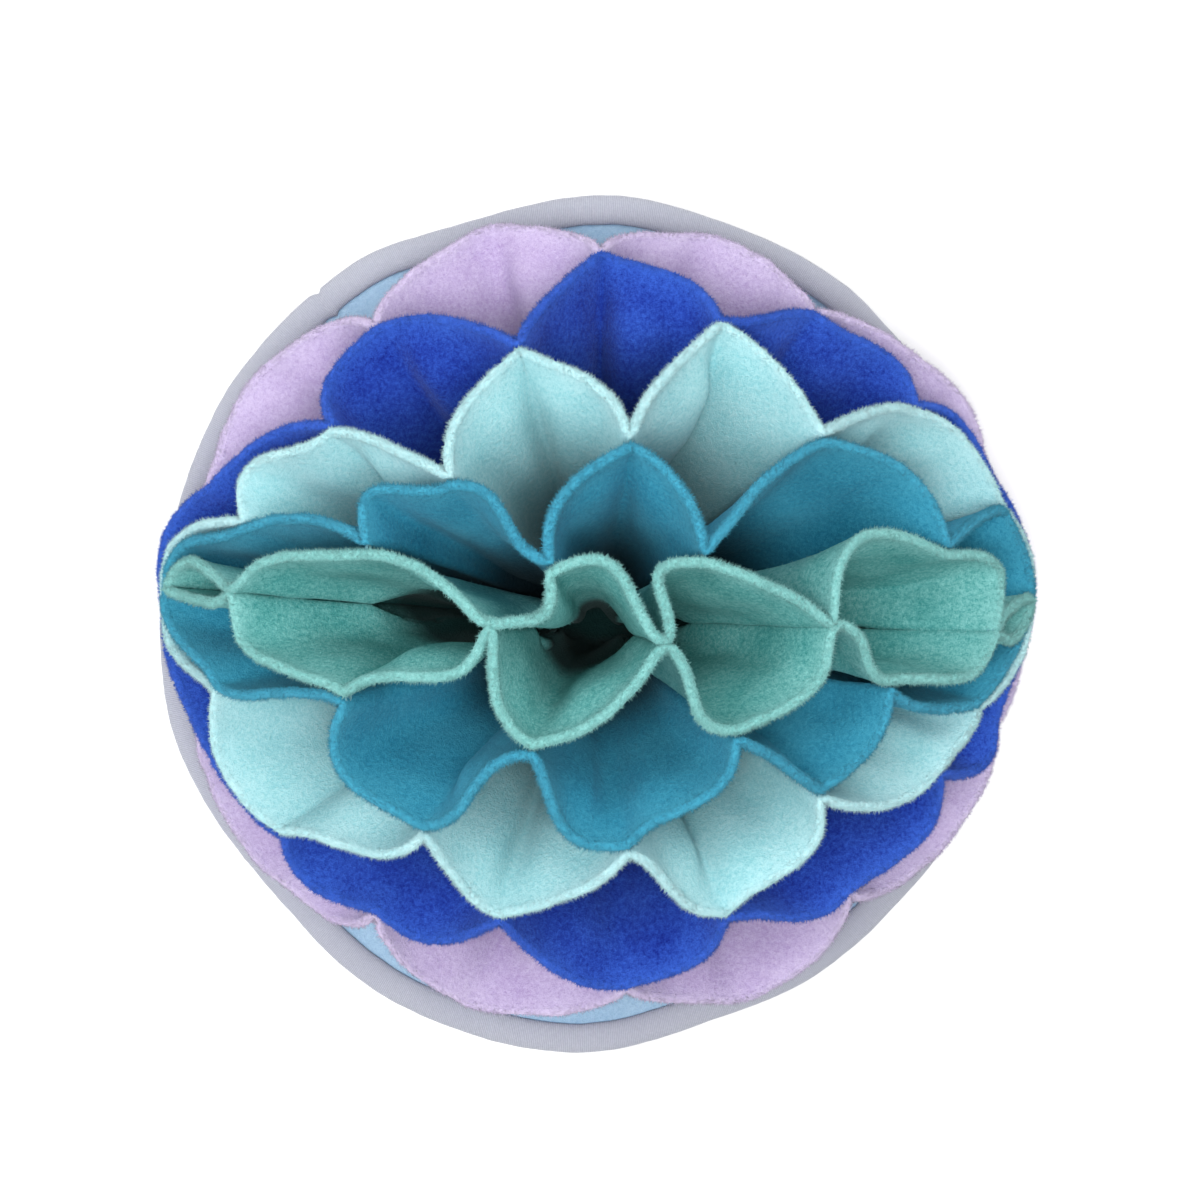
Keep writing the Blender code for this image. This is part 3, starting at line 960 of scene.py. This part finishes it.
def binding_material():
    """Ribbed knit: fine ridges that run across the binding, so they follow the bearing."""
    material, wire, shader = new_material("ribbed_binding")
    place = wire.node("ShaderNodeTexCoord", out=3)
    x, y = (wire.node("ShaderNodeSeparateXYZ", {}, {0: place}, out=side) for side in (0, 1))
    bearing = y.math("ARCTAN2", y, x)
    ridge = wire.math("SINE", bearing * RIBS_ROUND) * 0.5 + 0.5
    yarn = speckle(place, 900.0, 3.0)
    cloud = speckle(place, 30.0, 2.0)
    pale = cloud.tint((0.50, 0.52, 0.60), (0.57, 0.59, 0.64))
    # The grooves between the ribs are painted darker, as painted shade, and the yarn noise adds random
    # flecks of tone.
    plug(shader, "Base Color", (ridge * 0.5 + yarn * 0.5).tint((0.31, 0.32, 0.40), pale))
    plug(shader, "Roughness", 0.9)
    plug(shader, "Specular IOR Level", 0.2)
    plug(shader, "Sheen Weight", 0.2)
    plug(shader, "Sheen Roughness", 0.5)
    knit = {"Height": ridge * 0.7 + yarn * 0.3, "Strength": 0.5, "Distance": 0.0006}
    plug(shader, "Normal", wire.node("ShaderNodeBump", {}, knit))
    return material


def make_binding():
    from_inner = [(0, SLOT_HIGH), (0.1, SLOT_HIGH + 0.9), (0.7, SLOT_HIGH + 1.7)]
    from_inner += [(1.9, 8.1), (3.4, 8.5), (5.6, 8.6)]
    from_outer = [(4.6, 8.4), (2.6, 7.6), (1.0, 6.3), (0.1, 4.6), (0.2, 3.0)]
    from_outer += [(1.2, 1.4), (3.0, 0.3), (4.6, 0.0)]
    shape = [(ROLL_INNER + across, high) for across, high in from_inner]
    shape += [(BASE_RADIUS - across, high) for across, high in from_outer]
    shape += [(ROLL_INNER, 0.0), (ROLL_INNER, SLOT_LOW), (SLOT_END, SLOT_LOW), (SLOT_END, SLOT_HIGH)]
    points, faces, bearings = turned(shape, True)
    outward = unit(points * [1, 1, 0])
    skin = np.array([1.0 if spot < ROLLED_SPOTS else 0.0 for spot in range(len(shape))])
    gather = ripple(points, 7.0, 9.0) * 0.22 + ripple(points, 24.0, 5.0) * 0.4
    nick = -SEAM_NICK * closeness(bearings - SEAM_BEARING, NICK_WIDE)[:, None]
    points = points + outward * ((gather + nick) * skin)[:, :, None]
    points[:, :, 2] += (nick * 0.6 + gather * 0.3) * skin
    mesh_object("binding_roll", points.reshape(-1, 3), faces, binding_material(), "edge_binding")


make_binding()

# %% [markdown]
# ## The floor
# The photograph was taken on white, so the mat lies on a wide pale plane. The plane is a fraction of a
# millimetre below the base, because two faces in exactly the same place would flicker. It belongs to
# the studio and not to the mat.

# %% The floor
FLOOR_HALF, FLOOR_LOW = 3.0, -0.0003
FLOOR_CORNERS = ((-1, -1), (1, -1), (1, 1), (-1, 1))

floor_mesh = bpy.data.meshes.new("floor")
corners = [(x * FLOOR_HALF, y * FLOOR_HALF, FLOOR_LOW) for x, y in FLOOR_CORNERS]
floor_mesh.from_pydata(corners, [], [(0, 1, 2, 3)])
floor = bpy.data.objects.new("floor", floor_mesh)
bpy.context.scene.collection.objects.link(floor)
floor_material, _, floor_shader = new_material("pale_floor")
plug(floor_shader, "Base Color", (0.97, 0.97, 0.97, 1.0))
plug(floor_shader, "Roughness", 0.9)
floor_mesh.materials.append(floor_material)
print("floor", 2 * FLOOR_HALF, "m across")

# %% [markdown]
# ## The light
# In the photograph the outer cloth is almost shadowless, and the cells grow dark with depth. Small lamps
# would draw hard shadows, so these are broad discs that all face the mat. The key lamp is above and a
# little in front, one fill is at the left and one at the back, and a pale sky lights the rest.

# %% Lamps and sky
SKY_STRENGTH = 0.46


def lamp(name, place, size, power):
    data = bpy.data.lights.new(name, "AREA")
    data.shape, data.size, data.energy = "DISK", size, power
    obj = bpy.data.objects.new(name, data)
    obj.location = place
    obj.rotation_euler = (-Vector(place)).to_track_quat("-Z", "Y").to_euler()
    bpy.context.scene.collection.objects.link(obj)
    print("lamp", name, "of", power, "W")


lamp("key", (-0.02, -0.32, 1.85), 1.0, 23.0)
lamp("left_fill", (-1.4, 0.1, 1.4), 1.2, 13.0)
lamp("back_fill", (0.7, 1.2, 1.4), 1.2, 12.0)
sky = bpy.data.worlds.new("sky")
sky.use_nodes = True
background = sky.node_tree.nodes["Background"]
plug(background, "Color", (1.0, 1.0, 1.0, 1.0))
plug(background, "Strength", SKY_STRENGTH)
bpy.context.scene.world = sky
bpy.context.scene.view_settings.view_transform = "Standard"

# %% [markdown]
# ## Sizes, and the end
# The dressed mat has to keep the size of the plain solids, apart from the few millimetres that pile
# stands proud.
